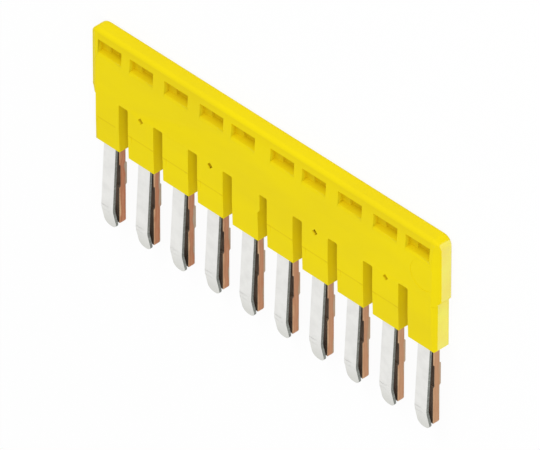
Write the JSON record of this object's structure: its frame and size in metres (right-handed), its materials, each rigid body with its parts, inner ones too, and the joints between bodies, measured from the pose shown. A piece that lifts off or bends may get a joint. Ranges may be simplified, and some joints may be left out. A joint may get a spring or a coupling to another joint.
{
  "type": "terminal block jumper bar",
  "caption": "Plug-in comb jumper that links neighbouring rail terminal blocks: a yellow insulating bar with slotted teeth over sprung copper contacts, lying on its back.",
  "frame": {"origin": "under the middle of the part, on the surface it lies on", "axes": "+X along the bar, +Y from the contact tips to the edge that is pressed, +Z out of the front face"},
  "size_m": [0.0508, 0.025, 0.0022],
  "materials": {
    "housing": "fine satin moulding",
    "comb": "copper sheet, bare on its cut edges and tinned on its faces",
    "leaf": "bright tinned spring sheet"
  },
  "bodies": {
    "root": {"insulating_body": "housing", "copper_comb": "comb", "spring_leaf_1": "leaf", "spring_leaf_2": "leaf", "spring_leaf_3": "leaf", "spring_leaf_4": "leaf", "spring_leaf_5": "leaf", "spring_leaf_6": "leaf", "spring_leaf_7": "leaf", "spring_leaf_8": "leaf", "spring_leaf_9": "leaf", "spring_leaf_10": "leaf"}
  },
  "joints": []
}
